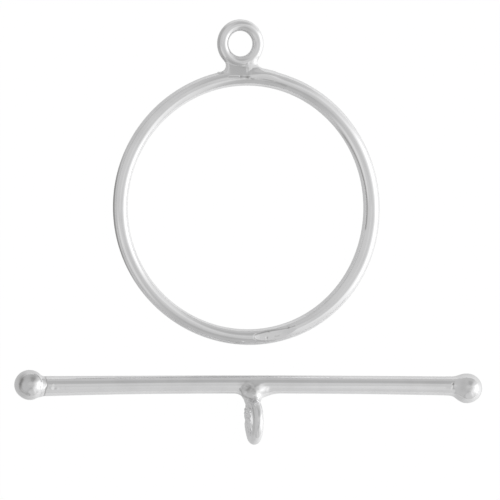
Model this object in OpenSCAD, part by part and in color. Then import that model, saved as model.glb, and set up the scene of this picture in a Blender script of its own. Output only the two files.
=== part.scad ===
// Toggle clasp: a wire hoop with a small eye, and a ball-ended bar with an eye at its middle.
// Both lie on a surface at z = 0. X runs along the bar, and Y from the bar towards the hoop.

/* [Hoop] */
// Outside diameter of the hoop
hoop_d = 25; // [16:0.5:36]
// Thickness of the hoop's round wire
hoop_wire = 1.5; // [1:0.05:2.6]

/* [Hoop eye] */
// Outside diameter of the hoop's eye
hoop_eye_d = 4.4; // [3.6:0.1:6]
// Thickness of the round wire that the hoop's eye is bent from
hoop_eye_wire = 1.1; // [0.9:0.05:1.3]
// Turn of the eye round the hoop from the middle, in degrees
hoop_eye_lean = 2.2; // [-8:0.1:8]

/* [Neck] */
// Space between the hoop and its eye, which the solder fills
neck_gap = 0.17; // [0.02:0.01:0.6]
// Radius of the hollow at the left of the neck
neck_left_r = 0.65; // [0.3:0.05:1.2]
// Radius of the hollow at the right of the neck
neck_right_r = 0.85; // [0.3:0.05:1.2]
// Thickness of the neck
neck_t = 0.9; // [0.5:0.05:0.95]

/* [Bar] */
// Length of the bar over its balls
bar_l = 43.6; // [38:0.1:60]
// Diameter of the rod at its middle
rod_d = 1.66; // [1.2:0.02:2.2]
// Diameter of the rod where it meets the left ball
rod_left_d = 1.84; // [1.2:0.02:2.2]
// Diameter of the rod where it meets the right ball
rod_right_d = 1.74; // [1.2:0.02:2.2]
// Diameter of each melted ball
ball_d = 2.8; // [2.3:0.05:4]
// Distance of the left ball's centre from the rod's axis, towards the hoop
left_ball_off = 0.05; // [-0.3:0.05:0.3]
// Distance of the right ball's centre from the rod's axis, away from the hoop
right_ball_off = 0.3; // [-0.3:0.05:0.3]
// Length of the taper that runs into the right ball, back from the ball's centre
melt_l = 2.1; // [1.8:0.05:2.8]

/* [Bar eye] */
// Outside diameter of the bar's eye
bar_eye_d = 4.2; // [3.6:0.1:6]
// Thickness of the round wire that the bar's eye is bent from
bar_eye_wire = 1; // [0.8:0.05:1.3]
// Place of the eye along the bar, from the bar's middle
bar_eye_x = 0.35; // [-2:0.05:2]

/* [Web] */
// Space between the rod and its eye, which the solder fills
web_gap = 0.45; // [0.05:0.01:1]
// Radius of the hollow between the rod and each side of the eye
web_side_r = 1.35; // [0.5:0.05:1.6]
// Radius of the hollow between the rod and the eye, above and below
web_face_r = 0.8; // [0.4:0.05:1.5]
// Thickness of the web, square to the bar
web_t = 1.4; // [0.7:0.05:1.5]

/* [Lying on the surface] */
// Clear distance between the hoop and the rod
lay_gap = 2.75; // [0.5:0.05:10]

/* [Hidden] */
$fn = 96;

// Depth of the narrow flat that is reamed round the inside of each eye
ream = 0.025;
// How deep each hollow of the solder runs into the metal beside it
bite = 0.03;
// How much rounder the solder's sides are than its thickness alone would make them
side_round = 1.25;
// Width of the melted taper where it starts inside the rod, as a share of the rod's
melt_start = 0.8;
// How far short of the ball's centre the taper stops, as a share of the ball's radius
melt_stop = 0.36;
// Width of the taper where it stops inside the ball, as a share of the ball's width there
melt_end = 0.97;

hoop_r = hoop_d / 2;
hoop_eye_r = hoop_eye_d / 2;
rod_r = rod_d / 2;
ball_r = ball_d / 2;
ball_x = bar_l / 2 - ball_r;
bar_eye_r = bar_eye_d / 2;

// From the hoop's centre to its eye's, and from the rod's axis to the bar eye's centre
neck_reach = hoop_r + neck_gap + hoop_eye_r;
web_reach = rod_r + web_gap + bar_eye_r;

// The bar lies on its balls and on its eye, which tips the eye up or down by this angle
bar_tip = asin((bar_eye_r - ball_r) / web_reach);

// Front and back of the whole clasp, measured from the hoop's centre
front_y = -(hoop_r + lay_gap + rod_r + web_reach * cos(bar_tip) + bar_eye_r);
back_y = neck_reach * cos(hoop_eye_lean) + hoop_eye_r;

// The origin is under the middle of the clasp's box
hoop_y = -(front_y + back_y) / 2;
rod_y = hoop_y - hoop_r - lay_gap - rod_r;

// Centre of the circle that hollows the corner between two circles, as [across, along] the line
// between their centres, for the distances of its centre from theirs
function corner(reach, from_first, from_second) =
    let (along = (reach ^ 2 + from_first ^ 2 - from_second ^ 2) / (2 * reach))
    [sqrt(from_first ^ 2 - along ^ 2), along];

// The point at a distance from a, on the line towards b
function towards(a, b, distance) = a + (b - a) * distance / norm(b - a);

// A circle of round wire in the XY plane, centred on the origin
module wire_circle(outer_r, wire)
    rotate_extrude() translate([outer_r - wire / 2, 0]) circle(d = wire);

// An eye of round wire, whose inner edge is reamed to a short round hole
module eye(outer_r, wire)
    difference() {
        wire_circle(outer_r, wire);
        cylinder(r = outer_r - wire + ream, h = 2 * wire, center = true);
    }

// What takes the hollow out of one side of the solder, and leaves that side rounded
module side_cutter(hollow_r, thickness) {
    side_r = side_round * thickness / 2;
    rotate_extrude() difference() {
        translate([0, -thickness]) square([hollow_r + side_r, 2 * thickness]);
        translate([hollow_r + side_r, 0]) circle(r = side_r);
    }
}

// The right half of the neck, drawn with the hoop's centre at the origin and the eye above it
module half_neck(hollow_r) {
    side = corner(neck_reach, hoop_r + hollow_r - bite, hoop_eye_r + hollow_r - bite);
    hoop_mid_r = hoop_r - hoop_wire / 2;
    eye_mid_r = hoop_eye_r - hoop_eye_wire / 2;
    difference() {
        translate([0, 0, -neck_t / 2]) linear_extrude(neck_t) polygon([
            [0, hoop_mid_r],
            towards([0, 0], side, hoop_mid_r),
            side,
            towards([0, neck_reach], side, eye_mid_r),
            [0, neck_reach - eye_mid_r]
        ]);
        translate([side.x, side.y, 0]) side_cutter(hollow_r, neck_t);
    }
}

// The solder between the hoop and its eye
module neck() {
    half_neck(neck_right_r);
    mirror([1, 0, 0]) half_neck(neck_left_r);
}

// The solder between the rod and its eye, drawn with the rod on the X axis and the eye above it
module web() {
    side = [bar_eye_wire / 2, rod_r] + (web_side_r - bite) * [1, 1];
    face = corner(web_reach, rod_r + web_face_r - bite, bar_eye_r + web_face_r - bite);
    difference() {
        translate([-side.x, 0, -web_t / 2]) cube([2 * side.x, side.y, web_t]);
        for (s = [-1, 1]) {
            translate([s * side.x, side.y, 0]) side_cutter(web_side_r, web_t);
            translate([0, face.y, s * face.x]) rotate([0, 90, 0])
                cylinder(r = web_face_r, h = 3 * side.x, center = true);
        }
    }
}

// The rod, thinnest at its middle, from one ball's centre to the other's
module rod() {
    translate([-ball_x, 0, 0]) rotate([0, 90, 0])
        cylinder(d1 = rod_left_d, d2 = rod_d, h = ball_x);
    rotate([0, 90, 0]) cylinder(d1 = rod_d, d2 = rod_right_d, h = ball_x);
}

// The taper that the rod's right end melted to. It starts inside the rod and stops inside the ball
module melt() {
    slope = atan(right_ball_off / melt_l);
    end_r = melt_end * ball_r * sqrt(1 - melt_stop ^ 2);
    translate([ball_x - melt_l, 0, 0]) rotate([0, 0, -slope]) rotate([0, 90, 0])
        cylinder(r1 = melt_start * rod_right_d / 2, r2 = end_r, h = melt_l - melt_stop * ball_r);
}

// A melted end, turned so that its poles lie along the bar
module ball() rotate([0, 90, 0]) sphere(r = ball_r);

module toggle_ring() color("silver")
    translate([0, hoop_y, hoop_wire / 2]) {
        wire_circle(hoop_r, hoop_wire);
        rotate([0, 0, hoop_eye_lean]) {
            translate([0, neck_reach, 0]) eye(hoop_eye_r, hoop_eye_wire);
            neck();
        }
    }

module toggle_bar() color("silver")
    translate([0, rod_y, ball_r]) {
        rod();
        melt();
        translate([-ball_x, left_ball_off, 0]) ball();
        translate([ball_x, -right_ball_off, 0]) ball();
        translate([bar_eye_x, 0, 0]) rotate([-bar_tip, 0, 0]) rotate([0, 0, 180]) {
            web();
            translate([0, web_reach, 0]) rotate([0, 90, 0]) eye(bar_eye_r, bar_eye_wire);
        }
    }

toggle_ring();
toggle_bar();
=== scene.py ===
"""A silver toggle clasp: a wire hoop with a small soldered eye, and a ball-ended bar with its own eye."""

import math

import bmesh
import bpy
import numpy as np
from mathutils import Matrix, Vector


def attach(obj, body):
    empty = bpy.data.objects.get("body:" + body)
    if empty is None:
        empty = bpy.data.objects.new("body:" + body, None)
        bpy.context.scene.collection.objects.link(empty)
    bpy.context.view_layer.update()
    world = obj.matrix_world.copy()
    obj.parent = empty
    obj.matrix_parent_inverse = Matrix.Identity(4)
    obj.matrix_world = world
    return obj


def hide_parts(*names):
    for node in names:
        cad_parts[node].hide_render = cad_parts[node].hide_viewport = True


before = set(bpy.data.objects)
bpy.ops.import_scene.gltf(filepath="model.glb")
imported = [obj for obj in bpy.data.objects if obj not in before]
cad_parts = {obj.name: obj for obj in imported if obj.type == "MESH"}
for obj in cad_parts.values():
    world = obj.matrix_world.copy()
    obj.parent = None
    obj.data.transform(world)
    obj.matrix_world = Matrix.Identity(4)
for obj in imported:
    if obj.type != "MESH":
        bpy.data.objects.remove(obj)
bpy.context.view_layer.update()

# The toggle ring. A large hoop of round silver wire, bent by hand and closed with a solder seam that was
# filed flush at its lower right. A small closed eye of thinner wire is soldered to its top, and the solder
# fills the space between them in two flat slopes. All lengths in the shaping are millimetres.
hoop_centre = (0.04, 2.214, 0.778)
# the radius to the middle of the hoop's wire, and the wire's own, each with how it drifts once, twice and
# three times round the hoop
hoop_turn = ((11.740, -0.023, 0.005), (0.0, -0.016, -0.012), (0.0, -0.047, -0.015))
hoop_wire = ((0.714, 0.040, 0.011), (0.0, -0.012, -0.012), (0.0, -0.012, -0.008))
hoop_swell, hoop_swell_turn = 0.12, 1.44
ring_eye, ring_eye_turn, ring_eye_wire, ring_eye_oval = (-0.560, 17.050, 0.778), 1.642, 0.512, 0.978
# the seam: its place round the hoop in radians, the middle and half the length of its filed flat along the
# wire, how deep that is and how it leans, and how far along the wire the filing is felt
seam_turn, seam_middle, seam_half, seam_deep, seam_lean, seam_ends = -1.379, -0.35, 2.0, 0.12, 0.03, 4
# the neck: its height over the hoop's middle, where it starts to fall to the back and to the left, and how
# steeply its left run, its right run and its two sides fall
neck_top, neck_back, neck_left = 0.742, 13.97, -2.10
left_fall, right_fall, left_side_fall, right_side_fall = 0.31, 0.19, 0.8, 0.15
# the middle and radius of the hollow on its left, and the middle and half size of the one on its right
left_hollow, left_hollow_r = (-2.50, 15.08), 0.60
right_hollow, right_hollow_size = (1.87, 15.50), (0.93, 0.78)
# how far from the hoop's centre it starts, half its width, and how far back it reaches beside the eye
neck_start, neck_half, neck_end = 11.72, 2.7, 15.5

# what the solder left on the ring, as lines seen from above
seam_line = ((0.63, -9.31), (0.80, -9.23), (1.33, -9.11), (1.95, -8.97),
             (2.83, -8.83), (3.83, -8.67), (4.37, -8.48))
seam_edge = ((0.50, -9.61), (0.78, -9.79), (1.12, -9.87), (1.62, -9.91), (1.99, -9.90), (2.55, -9.79))
seam_stroke = ((2.50, -9.47), (2.88, -9.41))
seam_ridge = ((2.64, -9.29), (3.02, -9.21))
neck_foot = ((-1.77, 14.06), (-1.11, 14.07), (-0.55, 14.04), (0.01, 13.98))
neck_gap = ((-0.75, 14.05), (-0.20, 14.02), (0.16, 13.98))
neck_crease = ((-1.96, 15.71), (-1.59, 15.41), (-1.21, 15.21), (-0.65, 14.98), (0.00, 14.85))
crest_line = ((0.19, 13.89), (0.75, 13.86), (1.31, 13.80), (2.06, 13.68), (2.99, 13.42), (3.55, 13.21))
# each line with the height it lies above, its width and depth, and the width and darkness of its stain
ring_lines = (
    (seam_line, 1.1, 0.06, 0.030, 0.05, 0.45),
    (seam_edge, 1.1, 0.05, 0.008, 0.06, 0.20),
    (seam_stroke, 1.1, 0.05, 0.010, 0.06, 0.25),
    (seam_ridge, 1.1, 0.05, -0.010, 0, 0),
    (neck_foot, 1.2, 0.07, 0.024, 0.06, 0.22),
    (neck_gap, 1.2, 0.08, 0.04, 0, 0),
    (neck_crease, 1.0, 0.05, 0.012, 0.07, 0.25),
    (crest_line, 1.3, 0.05, 0.010, 0.06, 0.25),
)
# the pits and spots in the same way: the place, its width and depth, and its stain's width and darkness
ring_spots = (
    ((1.76, -9.60, 1.40), 0.08, 0.06, 0.08, 0.90),    # the pit in the seam
    ((1.64, -9.66, 1.40), 0.06, -0.03, 0, 0),         # the lip beside it
    ((1.95, -8.97, 1.40), 0.09, 0.05, 0.13, 0.50),    # two pits on the seam's line
    ((3.78, -8.67, 1.35), 0.08, 0.05, 0.12, 0.60),
    ((-0.05, 14.02, 1.50), 0, 0, 0.17, 0.55),         # two spots at the neck's foot
    ((-0.68, 14.05, 1.50), 0, 0, 0.16, 0.40),
)


def wire_loop(bm, centre, axis, turn, wire):
    """A closed loop of round wire: a circle spun once round the axis."""
    side = Vector(axis).orthogonal().normalized()
    place = Matrix.Translation(Vector(centre) + side * turn)
    face = Vector(axis).cross(side).to_track_quat("Z", "Y").to_matrix().to_4x4()
    made = bmesh.ops.create_circle(bm, segments=32, radius=wire, matrix=place @ face)["verts"]
    rim = list({e for v in made for e in v.link_edges})
    bmesh.ops.spin(bm, geom=made + rim, cent=centre, axis=axis, angle=2 * math.pi,
                   steps=max(48, int(turn * 20)), use_merge=True, dvec=(0, 0, 0))


def blob(bm, centre, radius, size=(1, 1, 1)):
    """A lump of solder or melted wire."""
    place = Matrix.Translation(centre) @ Matrix.Diagonal((*size, 1))
    bmesh.ops.create_uvsphere(bm, u_segments=32, v_segments=20, radius=radius, matrix=place)


def fused(bm, name, voxel):
    """The forms melted into one closed skin of even squares."""
    bmesh.ops.remove_doubles(bm, verts=bm.verts, dist=1e-3)
    bmesh.ops.recalc_face_normals(bm, faces=bm.faces)
    rough = bpy.data.objects.new(name + "_forms", bpy.data.meshes.new(name + "_forms"))
    bm.to_mesh(rough.data)
    bm.free()
    bpy.context.scene.collection.objects.link(rough)
    melt = rough.modifiers.new("melt", "REMESH")
    melt.mode, melt.voxel_size = "VOXEL", voxel
    skin = bpy.data.meshes.new_from_object(rough.evaluated_get(bpy.context.evaluated_depsgraph_get()))
    bpy.data.objects.remove(rough)
    skin.name = name
    return skin


def join(a, b, soft):
    """Two surfaces as one, with a fillet between them."""
    h = np.clip(0.5 + 0.5 * (b - a) / soft, 0, 1)
    return b + (a - b) * h - soft * h * (1 - h)


def cut(a, b, soft):
    """What two surfaces share, with a soft edge."""
    return -join(-a, -b, soft)


def wave(table, turn):
    """A size that drifts round a loop, as bent wire does."""
    rows = enumerate(table, 1)
    return sum(c + p * np.cos(k * turn) + q * np.sin(k * turn) for k, (c, p, q) in rows)


def gnarl(p, size, seed):
    """Uneven metal: a sum of waves in fixed directions, about -1 to 1."""
    draw = np.random.default_rng(seed)
    waves, spread = 7, 3.2
    total = 0
    for _ in range(waves):
        way = draw.normal(size=3)
        way *= 2 * np.pi / (size * draw.uniform(0.75, 1.6) * np.linalg.norm(way))
        total = total + np.sin(p @ way + draw.uniform(0, 6.3))
    return total / spread


def bell(off, wide):
    """1 at nothing and fading to nothing past a width."""
    return np.exp(-((off / wide) ** 2))


def near(p, centre, reach):
    """1 at a place and fading to nothing past its reach."""
    return np.exp(-((p - np.array(centre)) ** 2).sum(1) / reach**2)


def step(value, start, end):
    """0 before the start, 1 past the end, and an even rise between them."""
    t = np.clip((value - start) / (end - start), 0, 1)
    return t * t * (3 - 2 * t)


def between(value, start, full, ease, end):
    """0 before the start, 1 from full to ease, and 0 again past the end."""
    return step(value, start, full) * step(-value, -end, -ease)


def past(value, soft):
    """How far past nothing a value is, with a soft start."""
    return soft * np.logaddexp(0, value / soft)


def lined(p, path, above, wide):
    """1 along a line seen from above, fading to nothing past its width, on the metal above a height."""
    off = np.full(len(p), np.inf)
    for (ax, ay), (bx, by) in zip(path, path[1:]):
        x, y, long, tall = p[:, 0] - ax, p[:, 1] - ay, bx - ax, by - ay
        t = np.clip((x * long + y * tall) / (long**2 + tall**2), 0, 1)
        off = np.minimum(off, np.hypot(x - t * long, y - t * tall))
    on_top = step(p[:, 2], above - 0.25, above + 0.1)
    return bell(off, wide) * on_top


def scored(p, lines, spots):
    """How deep a piece's lines and spots go into its metal."""
    deep = sum(depth * lined(p, path, above, wide) for path, above, wide, depth, _, _ in lines if depth)
    return deep + sum(depth * near(p, place, wide) for place, wide, depth, _, _ in spots if depth)


def darkened(p, lines, spots):
    """How dark the stain in and round them is."""
    dark = sum(tone * lined(p, path, above, wide) for path, above, _, _, wide, tone in lines if tone)
    return dark + sum(tone * near(p, place, wide) for place, _, _, wide, tone in spots if tone)


def eye_lines(p):
    """The fine lines left inside the hoop's eye, on the right, where it was opened out."""
    x, y, z = (p - ring_eye).T
    e, bearing = np.hypot(x, y), np.arctan2(y, x)
    shown = between(e, 1.10, 1.16, 1.34, 1.44) * between(bearing, -0.6, -0.1, 0.7, 1.1) * (z > 0)
    first_line, ripple = 1.17, 58
    return shown * np.cos((e - first_line) * ripple)


def ring_metal(p):
    """How far each point is outside the ring's metal."""
    hoop_x, hoop_y, z = (p - hoop_centre).T
    turn, far = np.arctan2(hoop_y, hoop_x), np.hypot(hoop_x, hoop_y)
    out, wire = far - wave(hoop_turn, turn), wave(hoop_wire, turn)
    face = np.arctan2(z, out)
    unround = 0.009 * np.cos(2 * face + 3 * turn) + 0.004 * np.cos(3 * face - 5 * turn + 1)
    swell = hoop_swell * bell(turn - hoop_swell_turn, 0.10) * step(out, -0.1, 0.5)
    hoop = np.hypot(out, z) - wire - unround - swell
    along = np.clip((turn - seam_turn) * hoop_turn[0][0], -seam_ends, seam_ends)
    filed = seam_deep * np.maximum(1 - ((along - seam_middle) / seam_half) ** 2, -1.2) + seam_lean * along
    hoop = cut(hoop, z - (wire - filed), 0.02)
    x, y = p[:, 0], p[:, 1]
    e = np.hypot(x - ring_eye[0], (y - ring_eye[1]) * ring_eye_oval)
    eye = np.hypot(e - ring_eye_turn, z) - ring_eye_wire + 0.005 * eye_lines(p)
    # the solder slopes from the hoop's crest down to the eye's wire, with a second, higher run on its right
    height, back, left = np.abs(z) - neck_top, past(y - neck_back, 0.03), past(neck_left - x, 0.25)
    left_run = cut((height + left_fall * back + left_side_fall * left) * 0.9, x - 0.3, 0.1)
    right_run = cut((height + right_fall * back + right_side_fall * (x + 0.08)) * 0.97, -0.08 - x, 0.14)
    neck = join(left_run, right_run, 0.10)
    # it is trimmed by a hollow on its left and one on its right, to a tail that stops on the hoop's right,
    # to its own width, to the hoop's middle and to the middle of the eye's wire
    bulge = 0.8 * z * z
    for trim, soft in (
        (left_hollow_r + bulge - np.hypot(x - left_hollow[0], y - left_hollow[1]), 0.08),
        ((1 + bulge - np.hypot((x - right_hollow[0]) / right_hollow_size[0],
                               (y - right_hollow[1]) / right_hollow_size[1])) * 0.8, 0.20),
        (np.minimum(0.26 * (x - 1.5) + 0.96 * (y - 14.74), x - 1.4), 0.05),
        (np.maximum(np.abs(x) - neck_half, y - neck_end), 0.1),
        (np.maximum(neck_start - far, 13 - y), 0.03),
        (ring_eye_turn - e, 0.02),
    ):
        neck = cut(neck, trim, soft)
    ring = join(join(hoop, eye, 0.06), neck, 0.06 + 0.18 * step(x, 0.1, 0.6))
    # the swirl of crumpled solder at the seam's left end, and the lines and pits
    swirl = 0.007 * near(p, (0.80, -9.52, 1.40), 0.34) * gnarl(p, 0.17, 5)
    return ring + swirl + scored(p, ring_lines, ring_spots)


def ring_stain_and_shade(p):
    """Where the ring is darker: fire and flux stain in its seam line and pits and faintly round them, the
    eye's fine lines, a dark line inside the hoop's right, and painted shade on the left outer edges of the
    hoop and its eye.
    """
    x, y, z = (p - hoop_centre).T
    turn, out = np.degrees(np.arctan2(y, x)), np.hypot(x, y) - hoop_turn[0][0]
    # painted shade in a line along the hoop's outer left edge, and a dark line along the inside of its
    # right
    painted_left_edge_shade = between(turn % 360, 148, 172, 205, 232) * bell(out - 0.70, 0.045) * (z > -0.2)
    right_inner_line = between(turn, -11, -9.5, 34, 44) * bell(out + 0.615 + 0.0012 * turn, 0.045) * (z > 0)
    # painted shade along the eye's outer edge on the left, and the eye's fine lines
    eye_x, eye_y, _ = (p - ring_eye).T
    painted_eye_edge_shade = step(-eye_x, 1.2, 1.7) * bell(np.hypot(eye_x, eye_y) - 2.09, 0.11) * (z > -0.2)
    fine = np.maximum(eye_lines(p), 0)
    stain_and_shade = darkened(p, ring_lines, ring_spots)
    return np.clip(stain_and_shade + 0.95 * painted_left_edge_shade + 0.80 * right_inner_line + 0.38 * painted_eye_edge_shade + 0.55 * fine, 0, 1)


def ring_detail(x, y, z):
    """Where the ring's marks are fine: at its seam, on its neck and inside its eye."""
    seam = y < -8 and 0.1 < x < 5.0 and z > 0.9
    neck = abs(x + 0.2) < 2.5 and 13.6 < y < 15.9 and z > 0.5
    eye = 15.6 < y < 18.6 and x > -0.2 and z > 0.8
    return seam or neck or eye


def ring_finest(x, y, z):
    """Where they are finest: on the seam's flat, and in the lines inside the eye."""
    seam = y < -8.2 and 0.4 < x < 4.6 and z > 1.0
    eye = 1.0 < math.hypot(x - ring_eye[0], y - ring_eye[1]) < 1.6 and x > 0 and z > 0.8
    return seam or eye


def slope_of(metal, p):
    """Which way is out, for each point."""
    nudge = 2e-3
    return np.stack([(metal(p + d) - metal(p - d)) / (2 * nudge) for d in np.eye(3) * nudge], 1)


def settled(skin, metal, stain_and_shade, detail, finest):
    """Splits the squares where the detail is fine, then draws every vertex onto the metal."""
    rounds, pulls, least_slope, millimetre = 4, 3, 0.3, 0.001
    bm = bmesh.new()
    bm.from_mesh(skin)
    for wanted in (detail, finest):
        picked = {v for v in bm.verts if wanted(*v.co)}
        edges = [e for e in bm.edges if e.verts[0] in picked and e.verts[1] in picked]
        bmesh.ops.subdivide_edges(bm, edges=edges, cuts=1, use_grid_fill=True)
    for done in range(rounds):
        if done:
            bmesh.ops.smooth_vert(
                bm, verts=bm.verts, factor=0.5, use_axis_x=True, use_axis_y=True, use_axis_z=True)
        p = np.array([v.co for v in bm.verts])
        way = slope_of(metal, p)
        way /= np.maximum((way**2).sum(1), least_slope)[:, None]
        for _ in range(pulls):
            p = p - way * metal(p)[:, None]
        for v, co in zip(bm.verts, p):
            v.co = co
    bm.to_mesh(skin)
    bm.free()
    way = slope_of(metal, p)
    way /= np.linalg.norm(way, axis=1)[:, None]
    # each vertex keeps how dark its stains and painted shade make it
    skin.attributes.new("stain_and_shade", "FLOAT", "POINT").data.foreach_set("value", stain_and_shade(p))
    skin.transform(Matrix.Scale(millimetre, 4))
    skin.shade_smooth()
    skin.normals_split_custom_set_from_vertices(way)
    return skin


bm = bmesh.new()
wire_loop(bm, hoop_centre, (0, 0, 1), hoop_turn[0][0], 0.75)
wire_loop(bm, ring_eye, (0, 0, 1), ring_eye_turn, ring_eye_wire)
blob(bm, (-0.4, 14.85, 0.79), 1.0, (1.35, 0.75, 0.52))
skin = fused(bm, "ring_skin", 0.100)
skin = settled(skin, ring_metal, ring_stain_and_shade, ring_detail, ring_finest)
ring = bpy.data.objects.new("toggle_ring_metal", skin)
bpy.context.scene.collection.objects.link(ring)

# The metal: bright silver, tumbled and hand polished, so it carries a haze of fine rubbing marks and soft
# cloudy patches where the polish is a little duller.


def make_rubbed():
    """Rubbed metal: cloudy dull patches, fine marks, and the tone of its stains and painted shade."""
    group = bpy.data.node_groups.new("rubbed_metal", "ShaderNodeTree")
    for name, kind, way, value in (
        ("Bright", "NodeSocketColor", "INPUT", (0.9, 0.9, 0.895, 1)),
        ("Dull", "NodeSocketColor", "INPUT", (0.8, 0.8, 0.8, 1)),
        ("Roughness", "NodeSocketFloat", "INPUT", 0.1),
        ("Wear", "NodeSocketFloat", "INPUT", 1.0),
        ("Stain and shade", "NodeSocketFloat", "INPUT", 0.0),
        ("Stain and shade tone", "NodeSocketColor", "INPUT", (0.3, 0.3, 0.3, 1)),
        ("Color", "NodeSocketColor", "OUTPUT", None),
        ("Roughness", "NodeSocketFloat", "OUTPUT", None),
        ("Height", "NodeSocketFloat", "OUTPUT", None),
    ):
        made = group.interface.new_socket(name, in_out=way, socket_type=kind)
        if value is not None:
            made.default_value = value
    nodes, links = group.nodes, group.links
    given, out = nodes.new("NodeGroupInput"), nodes.new("NodeGroupOutput")
    where = nodes.new("ShaderNodeTexCoord")

    def noise(scale, detail):
        """Noise that stays on the piece."""
        node = nodes.new("ShaderNodeTexNoise")
        node.inputs["Scale"].default_value, node.inputs["Detail"].default_value = scale, detail
        links.new(where.outputs["Object"], node.inputs["Vector"])
        return node.outputs["Fac"]

    def times(a, b):
        """Two values multiplied."""
        node = nodes.new("ShaderNodeMath")
        node.operation = "MULTIPLY"
        links.new(a, node.inputs[0])
        links.new(b, node.inputs[1])
        return node.outputs[0]

    def blend(amount, a, b):
        """From one colour to another. Sockets 6, 7 and 2 are the Mix node's own for colours."""
        node = nodes.new("ShaderNodeMix")
        node.data_type = "RGBA"
        links.new(amount, node.inputs["Factor"])
        links.new(a, node.inputs[6])
        links.new(b, node.inputs[7])
        return node.outputs[2]

    cloud = nodes.new("ShaderNodeMapRange")
    cloud.inputs["From Min"].default_value, cloud.inputs["From Max"].default_value = 0.45, 0.75
    links.new(noise(scale=420, detail=4), cloud.inputs["Value"])
    amount = times(cloud.outputs["Result"], given.outputs["Wear"])
    clean = blend(amount, given.outputs["Bright"], given.outputs["Dull"])
    # the stains and painted shade darken the colour towards their tone
    links.new(blend(given.outputs["Stain and shade"], clean, given.outputs["Stain and shade tone"]), out.inputs["Color"])
    rough = nodes.new("ShaderNodeMath")
    rough.operation = "MULTIPLY_ADD"
    links.new(amount, rough.inputs[0])
    rough.inputs[1].default_value = 0.06
    links.new(given.outputs["Roughness"], rough.inputs[2])
    links.new(rough.outputs[0], out.inputs["Roughness"])
    links.new(times(noise(scale=5200, detail=3), given.outputs["Wear"]), out.inputs["Height"])
    return group


rubbed = make_rubbed()


def silver_finish(name, bright, dull, roughness, wear, stain_and_shade_tone=(0.34, 0.335, 0.33)):
    """Polished silver, darkened where the piece is stained and where shade is painted on it."""
    metal = bpy.data.materials.new(name)
    metal.use_nodes = True
    nodes, links = metal.node_tree.nodes, metal.node_tree.links
    shader = nodes["Principled BSDF"]
    shader.inputs["Metallic"].default_value = 1.0
    worn = nodes.new("ShaderNodeGroup")
    worn.node_tree = rubbed
    for socket, value in (("Bright", (*bright, 1)), ("Dull", (*dull, 1)), ("Roughness", roughness),
                          ("Wear", wear), ("Stain and shade tone", (*stain_and_shade_tone, 1))):
        worn.inputs[socket].default_value = value
    mark = nodes.new("ShaderNodeAttribute")
    mark.attribute_name = "stain_and_shade"
    links.new(mark.outputs["Fac"], worn.inputs["Stain and shade"])
    links.new(worn.outputs["Color"], shader.inputs["Base Color"])
    links.new(worn.outputs["Roughness"], shader.inputs["Roughness"])
    bump = nodes.new("ShaderNodeBump")
    bump.inputs["Strength"].default_value = 0.05
    bump.inputs["Distance"].default_value = 0.00001
    links.new(worn.outputs["Height"], bump.inputs["Height"])
    links.new(bump.outputs["Normal"], shader.inputs["Normal"])
    return metal


silver = silver_finish("polished_silver", bright=(0.925, 0.924, 0.929), dull=(0.860, 0.858, 0.863),
                       roughness=0.07, wear=1.0)
ring.data.materials.append(silver)
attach(ring, "root")
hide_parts("toggle_ring")

# The toggle bar. A length of thicker silver wire, bowed a little, whose two ends were melted back into
# balls. An eye like the hoop's stands square to it at its middle, in a heap of crumpled solder. It lies on
# its balls and on the eye, which tips the eye up.
rod_mid_y, rod_lean, rod_bow, rod_height = -13.806, 0.0006, 0.00042, 1.375
rod_half, rod_swell, rod_taper, rod_ends = 0.811, 0.00018, 0.0000035, 20.0
left_ball, left_ball_r = (-20.33, -13.870, 1.370), 1.360
right_ball, right_ball_r = (20.52, -14.160, 1.370), 1.352
# the flats and swells of the melted balls: which way each one faces, how wide it is and how deep
left_dents = (((-0.6, -0.75, 0), 0.5, 0.055), ((0.6, 0.7, 0.3), 0.5, -0.02))
right_dents = (((0.45, -0.85, 0), 0.4, 0.03),)
bar_eye, bar_eye_turn, bar_eye_wire = (0.36, -17.165, 2.09), 1.600, 0.495
# the three lumps of its solder: the middle, the half size, and how steeply the distance from it counts
heap = ((0.34, -14.36, 1.50), (1.22, 0.74, 0.82), 0.8)
web = ((0.37, -15.00, 1.58), (0.83, 0.74, 0.70), 0.72)
run = ((0.95, -14.56, 1.20), (1.15, 0.42, 0.52), 0.48)

# the folds where the melted ends rolled over themselves, the marks where their metal stops on the rod, and
# the curl in the heap of solder
left_fold = ((-21.20, -13.38), (-21.36, -13.74), (-21.36, -14.11),
             (-21.29, -14.38), (-20.91, -14.60), (-20.59, -14.74))
left_collar = ((-18.96, -13.00), (-18.96, -13.24), (-18.87, -13.88), (-19.06, -14.29), (-19.06, -14.80))
right_mark = ((18.97, -13.74), (18.94, -14.20))
right_fold = ((18.76, -14.82), (19.51, -15.28), (20.07, -15.50))
solder_curl = ((-0.90, -14.20), (-0.83, -14.33), (-0.60, -14.78), (-0.23, -15.01), (0.10, -15.10))
bar_lines = (
    (left_fold, 1.4, 0.08, 0.020, 0.11, 0.24),
    (left_collar, 1.2, 0.055, 0.045, 0.07, 0.50),
    (right_mark, 1.6, 0.05, 0.020, 0.06, 0.45),
    (right_fold, 1.2, 0.06, 0.020, 0.07, 0.30),
    (solder_curl, 1.6, 0.07, 0.028, 0, 0),
    (solder_curl, 1.5, 0, 0, 0.07, 0.45),
)
bar_spots = (
    ((18.97, -13.74, 2.20), 0.09, 0.05, 0.11, 0.90),    # the pit at the right ball
    ((-0.15, -14.15, 2.45), 0.36, 0.07, 0, 0),          # two hollows in the heap
    ((-0.26, -14.66, 2.15), 0.24, 0.07, 0, 0),
    ((-0.12, -17.03, 0.38), 0.17, 0.24, 0, 0),          # the nick in the eye's left face
    ((-21.20, -13.28, 2.20), 0, 0, 0.34, 0.46),         # two dark patches on the left ball
    ((-20.20, -13.25, 2.50), 0, 0, 0.40, 0.42),
)
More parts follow.
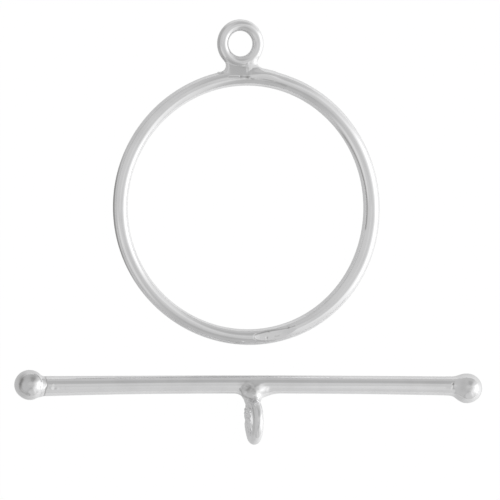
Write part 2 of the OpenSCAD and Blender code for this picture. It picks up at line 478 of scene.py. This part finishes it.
# the crumpled part of the eye's left face
scar_place = (-0.05, -16.1, 1.2)


def melted(p, ball, radius, dents):
    """A melted end of the rod: a ball that isn't quite round."""
    off = p - np.array(ball)
    far = np.linalg.norm(off, axis=1) + 1e-9  # never quite nothing
    facing = off / far[:, None]
    return far - radius + sum(deep * near(facing, way, wide) for way, wide, deep in dents)


def lump(p, middle, half_size, even):
    """A long or flat lump of solder."""
    return even * (np.linalg.norm((p - np.array(middle)) / np.array(half_size), axis=1) - 1)


def bar_metal(p):
    """How far each point is outside the bar's metal."""
    x, y, z = p.T
    axis = rod_mid_y + rod_lean * x - rod_bow * x * x
    # the rod is thinnest at its middle, and the melted metal thickens it beside each ball
    thick = rod_half + x * x * (rod_swell - rod_taper * x)
    thick = thick + 0.09 * step(-x, 18.93, 19.45) + 0.02 * step(x, 18.2, 19.0)
    face = np.arctan2(z - rod_height, y - axis)
    rod = np.hypot(y - axis, z - rod_height) - thick - 0.006 * np.cos(2 * face + 0.3 * x)
    rod = np.maximum(rod, np.abs(x) - rod_ends)
    bar = join(rod, melted(p, left_ball, left_ball_r, left_dents), 0.07)
    bar = join(bar, melted(p, right_ball, right_ball_r, right_dents), 0.45)
    bar = bar + 0.010 * near(p, (-18.3, -13.95, 2.1), 0.7) * gnarl(p, 0.45, 11)
    # the eye, tipped up and a little twisted, and its solder, heaped over the rod and run to the right
    twist = 0.055 * np.clip(-16.6 - y, -1.3, 1.9) * np.clip((3.0 - z) / 2.5, 0, 1)
    eye_out = np.hypot(y - bar_eye[1], z - bar_eye[2]) - bar_eye_turn
    eye = np.hypot(eye_out, x - (bar_eye[0] + twist)) - bar_eye_wire
    solder = join(join(lump(p, *heap), lump(p, *web), 0.25), lump(p, *run), 0.40)
    bar = join(join(bar, eye, 0.25), solder, 0.30 + 0.12 * step(x, 0.2, 1.0))
    # the crumples in the heap and in the left face of the eye
    crumple = 0.022 * near(p, (-0.10, -14.40, 2.3), 0.65) * gnarl(p, 0.32, 3)
    scar = 0.050 * near(p, scar_place, 1.0) * step(-x, -0.55, -0.2) * gnarl(p, 0.27, 4)
    return bar + crumple + scar + scored(p, bar_lines, bar_spots)


def bar_stain_and_shade(p):
    """Where the bar is darker: fire stain in the folds of its ends and in the heap of solder, darker balls
    with dark patches, speckles on the eye's crumpled side, and painted shade along the eye's upper strand.
    """
    x, y, z = p.T
    stain_and_shade = darkened(p, bar_lines, bar_spots)
    stain_and_shade = stain_and_shade + 0.10 * step(-x, 19.0, 19.7) + 0.05 * step(x, 19.0, 19.7)
    stain_and_shade = stain_and_shade + 0.55 * near(p, (-21.36, -13.80, 2.2), 0.40) * lined(p, left_fold, 1.4, 0.13)
    stain_and_shade = stain_and_shade + 0.14 * near(p, (20.15, -13.90, 2.7), 0.75) * (1 + 0.5 * gnarl(p, 0.6, 2))
    burnt = near(p, (-0.42, -13.98, 2.25), 0.46) + near(p, (0.18, -14.25, 2.38), 0.46)
    stain_and_shade = stain_and_shade + np.minimum(burnt, 1) * (0.50 + 0.16 * gnarl(p, 0.35, 9))
    # the eye: painted shade along the inside of its upper strand and a painted dark reflection on its
    # crest, and real speckles on its crumpled side
    painted_upper_strand_shade = step(z, 2.4, 2.8) * between(y, -18.6, -18.2, -16.0, -15.7)
    crest = 0.37 - 0.25 * step(y, -16.2, -15.5)
    stain_and_shade = stain_and_shade + painted_upper_strand_shade * (0.30 * bell(x + 0.07, 0.06) + 0.16 * bell(x - crest, 0.08))
    speckled = near(p, scar_place, 1.1) * step(-x, -0.55, -0.2) * np.clip(gnarl(p, 0.22, 6) - 0.35, 0, 0.5)
    return np.clip(stain_and_shade + 1.2 * speckled, 0, 1)


def bar_detail(x, y, z):
    """Where the bar's marks are fine: on its ends, and on its eye and solder."""
    ends = abs(x) > 18.2 and z > 1.0
    middle = abs(x - 0.4) < 1.5 and (y < -14.3 or z > 1.6)
    return ends or middle


def bar_finest(x, y, z):
    """Where they are finest: on top of the heap."""
    return abs(x) < 0.9 and -15.2 < y < -13.7 and z > 1.9


# the rod's rough form is two straight lengths that overlap at its middle, a little fuller than the wire
half_rod, half_rod_long, half_rod_x, half_rod_y = 0.86, 20.6, 9.9, rod_mid_y - 0.06
bm = bmesh.new()
for side in (-1, 1):
    place = Matrix.Translation((side * half_rod_x, half_rod_y, rod_height))
    bmesh.ops.create_cone(bm, cap_ends=True, segments=40, radius1=half_rod, radius2=half_rod,
                          depth=half_rod_long, matrix=place @ Matrix.Rotation(math.pi / 2, 4, "Y"))
blob(bm, left_ball, left_ball_r)
blob(bm, right_ball, right_ball_r)
wire_loop(bm, bar_eye, (1, 0, 0), bar_eye_turn, bar_eye_wire)
blob(bm, (0.4, -14.85, 1.6), 0.8, (1.1, 1, 0.9))
skin = fused(bm, "bar_skin", 0.105)
skin = settled(skin, bar_metal, bar_stain_and_shade, bar_detail, bar_finest)
bar = bpy.data.objects.new("toggle_bar_metal", skin)
bpy.context.scene.collection.objects.link(bar)
bar.data.materials.append(silver)
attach(bar, "root")
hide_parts("toggle_bar")

# The surface that the clasp lies on: smooth white board with a soft sheen, lit so brightly that shadows on
# it almost vanish. The camera sees it nearly as bare white.
bm = bmesh.new()
bmesh.ops.create_grid(bm, x_segments=1, y_segments=1, size=0.6)
board = bpy.data.objects.new("white_board", bpy.data.meshes.new("white_board"))
bm.to_mesh(board.data)
bm.free()
bpy.context.scene.collection.objects.link(board)
paper = bpy.data.materials.new("white_board")
paper.use_nodes = True
nodes, links = paper.node_tree.nodes, paper.node_tree.links
shader = nodes["Principled BSDF"]
for socket, value in (("Base Color", (0.74, 0.74, 0.74, 1)), ("Metallic", 1.0), ("Roughness", 0.42),
                      ("Emission Color", (1, 1, 1, 1)), ("Emission Strength", 0.15)):
    shader.inputs[socket].default_value = value
glow = nodes.new("ShaderNodeEmission")
glow.inputs["Strength"].default_value = 1.01
seen = nodes.new("ShaderNodeLightPath")
share = nodes.new("ShaderNodeMath")
share.operation = "MULTIPLY"
share.inputs[1].default_value = 0.98
mix = nodes.new("ShaderNodeMixShader")
links.new(seen.outputs["Is Camera Ray"], share.inputs[0])
links.new(share.outputs[0], mix.inputs[0])
links.new(shader.outputs[0], mix.inputs[1])
links.new(glow.outputs[0], mix.inputs[2])
links.new(mix.outputs[0], nodes["Material Output"].inputs["Surface"])
board.data.materials.append(paper)

# The studio: a white tent whose walls differ a little in brightness, with one large soft lamp low on the
# right. Its light depends only on the direction it comes from, and the camera sees the tent as bare white.
world = bpy.data.worlds.new("tent")
bpy.context.scene.world = world
world.use_nodes = True
nodes, links = world.node_tree.nodes, world.node_tree.links
sky = nodes["Background"]
sky.inputs["Color"].default_value = (1, 1, 1, 1)
look = nodes.new("ShaderNodeTexCoord")
axes = nodes.new("ShaderNodeSeparateXYZ")
links.new(look.outputs["Generated"], axes.inputs[0])


def reckoned(kind, *values):
    """A sum worked out by the tent's shader, from numbers and other sums."""
    node = nodes.new("ShaderNodeMath")
    node.operation = kind
    for socket, value in zip(node.inputs, values):
        if isinstance(value, float):
            socket.default_value = value
        else:
            links.new(value, socket)
    return node.outputs[0]


# the angle down from straight up, and the bearing counted from the right and from the left, in degrees
down = reckoned("DEGREES", reckoned("ARCCOSINE", axes.outputs["Z"]))
from_right = reckoned("DEGREES", reckoned("ARCTAN2", axes.outputs["Y"], axes.outputs["X"]))
leftward = reckoned("MULTIPLY", axes.outputs["X"], -1.0)
from_left = reckoned("DEGREES", reckoned("ARCTAN2", axes.outputs["Y"], leftward))


def ramp(value, start, end):
    """0 at the start and 1 at the end, with a soft rise."""
    node = nodes.new("ShaderNodeMapRange")
    node.interpolation_type = "SMOOTHSTEP"
    links.new(value, node.inputs["Value"])
    node.inputs["From Min"].default_value, node.inputs["From Max"].default_value = start, end
    return node.outputs["Result"]


def span(value, start, end, soft):
    """1 between two angles, with soft edges."""
    risen, fallen = ramp(value, start - soft, start + soft), ramp(value, end + soft, end - soft)
    return reckoned("MULTIPLY", risen, fallen)


def panel(light, around, turned, fallen, soft_turn, soft_fall, brightness):
    """The tent's light with one panel set in it. Sockets 2 and 3 are the Mix node's own for numbers."""
    node = nodes.new("ShaderNodeMix")
    mask = reckoned("MULTIPLY", span(around, *turned, soft_turn), span(down, *fallen, soft_fall))
    links.new(mask, node.inputs["Factor"])
    if isinstance(light, float):
        node.inputs[2].default_value = light
    else:
        links.new(light, node.inputs[2])
    node.inputs[3].default_value = brightness
    return node.outputs[0]


light = 0.555
# each panel's first and last bearing, its highest and lowest angle, how soft both are, and its brightness
for around, turned, fallen, soft_turn, soft_fall, brightness in (
    (from_right, (-180, 180), (-20, 22), 20, 12, 0.585),  # overhead
    (from_right, (-12, 190), (-20, 22), 20, 8, 0.635),    # the brighter back of it
    (from_right, (-60, 46), (23, 98), 12, 10, 0.76),      # the lamp's faint outer glow
    (from_right, (-38, 27), (32, 110), 8, 9, 0.93),       # the lamp's glow on the tent wall
    (from_right, (-25, 22), (49, 87), 8, 9, 1.3),         # the lamp
    (from_right, (-118, -62), (20, 90), 8, 8, 0.50),      # the front, left unlit
    (from_right, (-102, -70), (26, 48), 8, 6, 0.45),      # the darkest part of it
    (from_right, (52, 88), (28, 62), 9, 5, 0.47),         # a dim strip behind
    (from_left, (-48, 60), (86, 112), 16, 7, 0.40),       # left, low
):
    light = panel(light, around, turned, fallen, soft_turn, soft_fall, brightness)
direct = nodes.new("ShaderNodeLightPath")
shown = nodes.new("ShaderNodeMix")
links.new(direct.outputs["Is Camera Ray"], shown.inputs["Factor"])
links.new(light, shown.inputs[2])
shown.inputs[3].default_value = 1.0
links.new(shown.outputs[0], sky.inputs["Strength"])

# Reflectors: round or oval panes of light with soft edges, hung in the tent. Each reaches one piece alone,
# and adds to what it reflects.


def reflector(name, piece, bearing, fallen, reach, width, height, brightness):
    """A pane that faces the clasp from a bearing, an angle down from straight up and a distance."""
    pane_light = bpy.data.lights.new(name, "AREA")
    pane_light.shape, pane_light.size, pane_light.size_y = "ELLIPSE", width, height
    pane_light.energy = brightness * math.pi * width * height * math.pi / 4
    pane_light.use_nodes = True
    nodes, links = pane_light.node_tree.nodes, pane_light.node_tree.links
    spot = nodes.new("ShaderNodeNewGeometry")
    off = nodes.new("ShaderNodeVectorMath")
    off.operation = "DISTANCE"
    off.inputs[1].default_value = (0.5, 0.5, 0)
    links.new(spot.outputs["Parametric"], off.inputs[0])
    soft = nodes.new("ShaderNodeMapRange")
    soft.interpolation_type = "SMOOTHSTEP"
    soft.inputs["From Min"].default_value, soft.inputs["From Max"].default_value = 0.5, 0.3
    links.new(off.outputs["Value"], soft.inputs["Value"])
    links.new(soft.outputs["Result"], nodes["Emission"].inputs["Strength"])
    pane = bpy.data.objects.new(name, pane_light)
    a, f = math.radians(bearing), math.radians(fallen)
    way = Vector((math.sin(f) * math.cos(a), math.sin(f) * math.sin(a), math.cos(f)))
    facing = way.to_track_quat("Z", "Y").to_matrix().to_4x4()
    pane.matrix_world = Matrix.Translation(way * reach) @ facing
    pane.visible_camera = False
    bpy.context.scene.collection.objects.link(pane)
    only = bpy.data.collections.new(name)
    only.objects.link(piece)
    pane.light_linking.receiver_collection = only


# each pane's bearing, angle down and distance, its width and height, and its brightness
for pane_of_light in (
    ("left_wall", ring, 165, 43, 0.5, 1.35, 0.80, 0.058),
    ("left_front", ring, -150, 56, 0.5, 0.5, 0.42, 0.11),
    ("front_card", bar, -78, 60, 0.5, 0.62, 0.70, 0.15),
    ("right_card", bar, -41, 48, 0.086, 0.09, 0.08, 0.07),
    ("board_front", board, -64, 60, 0.5, 0.95, 0.62, 0.27),
    ("board_back", board, 66, 62, 0.5, 0.90, 0.62, 0.30),
):
    reflector(*pane_of_light)

# The camera: almost straight above with a long lens, leaning to the left of the clasp. The picture is
# square, and the clasp's origin falls a little to the left of its middle and above it.
picture, pixel = 500, 0.000090585
origin_across, origin_down, middle = 243.79, 231.53, (picture - 1) / 2
lean_left, lean_front = math.radians(14.07), math.radians(0.575)
toward = Vector((-math.tan(lean_left), -math.tan(lean_front), 1)).normalized()
upward = (Vector((0, 1, 0)) - toward * toward.y).normalized()
rightward = upward.cross(toward)
lens = bpy.data.cameras.new("camera")
lens.lens, lens.sensor_width = 1200, 36
lens.clip_start, lens.clip_end = 0.01, 10
camera = bpy.data.objects.new("camera", lens)
distance = picture * pixel * lens.lens / lens.sensor_width
centre = (rightward * (middle - origin_across) - upward * (middle - origin_down)) * pixel
turned = Matrix((rightward, upward, toward)).transposed().to_4x4()
camera.matrix_world = Matrix.Translation(centre + toward * distance) @ turned
bpy.context.scene.collection.objects.link(camera)
bpy.context.scene.camera = camera
bpy.context.scene.view_settings.view_transform = "Standard"
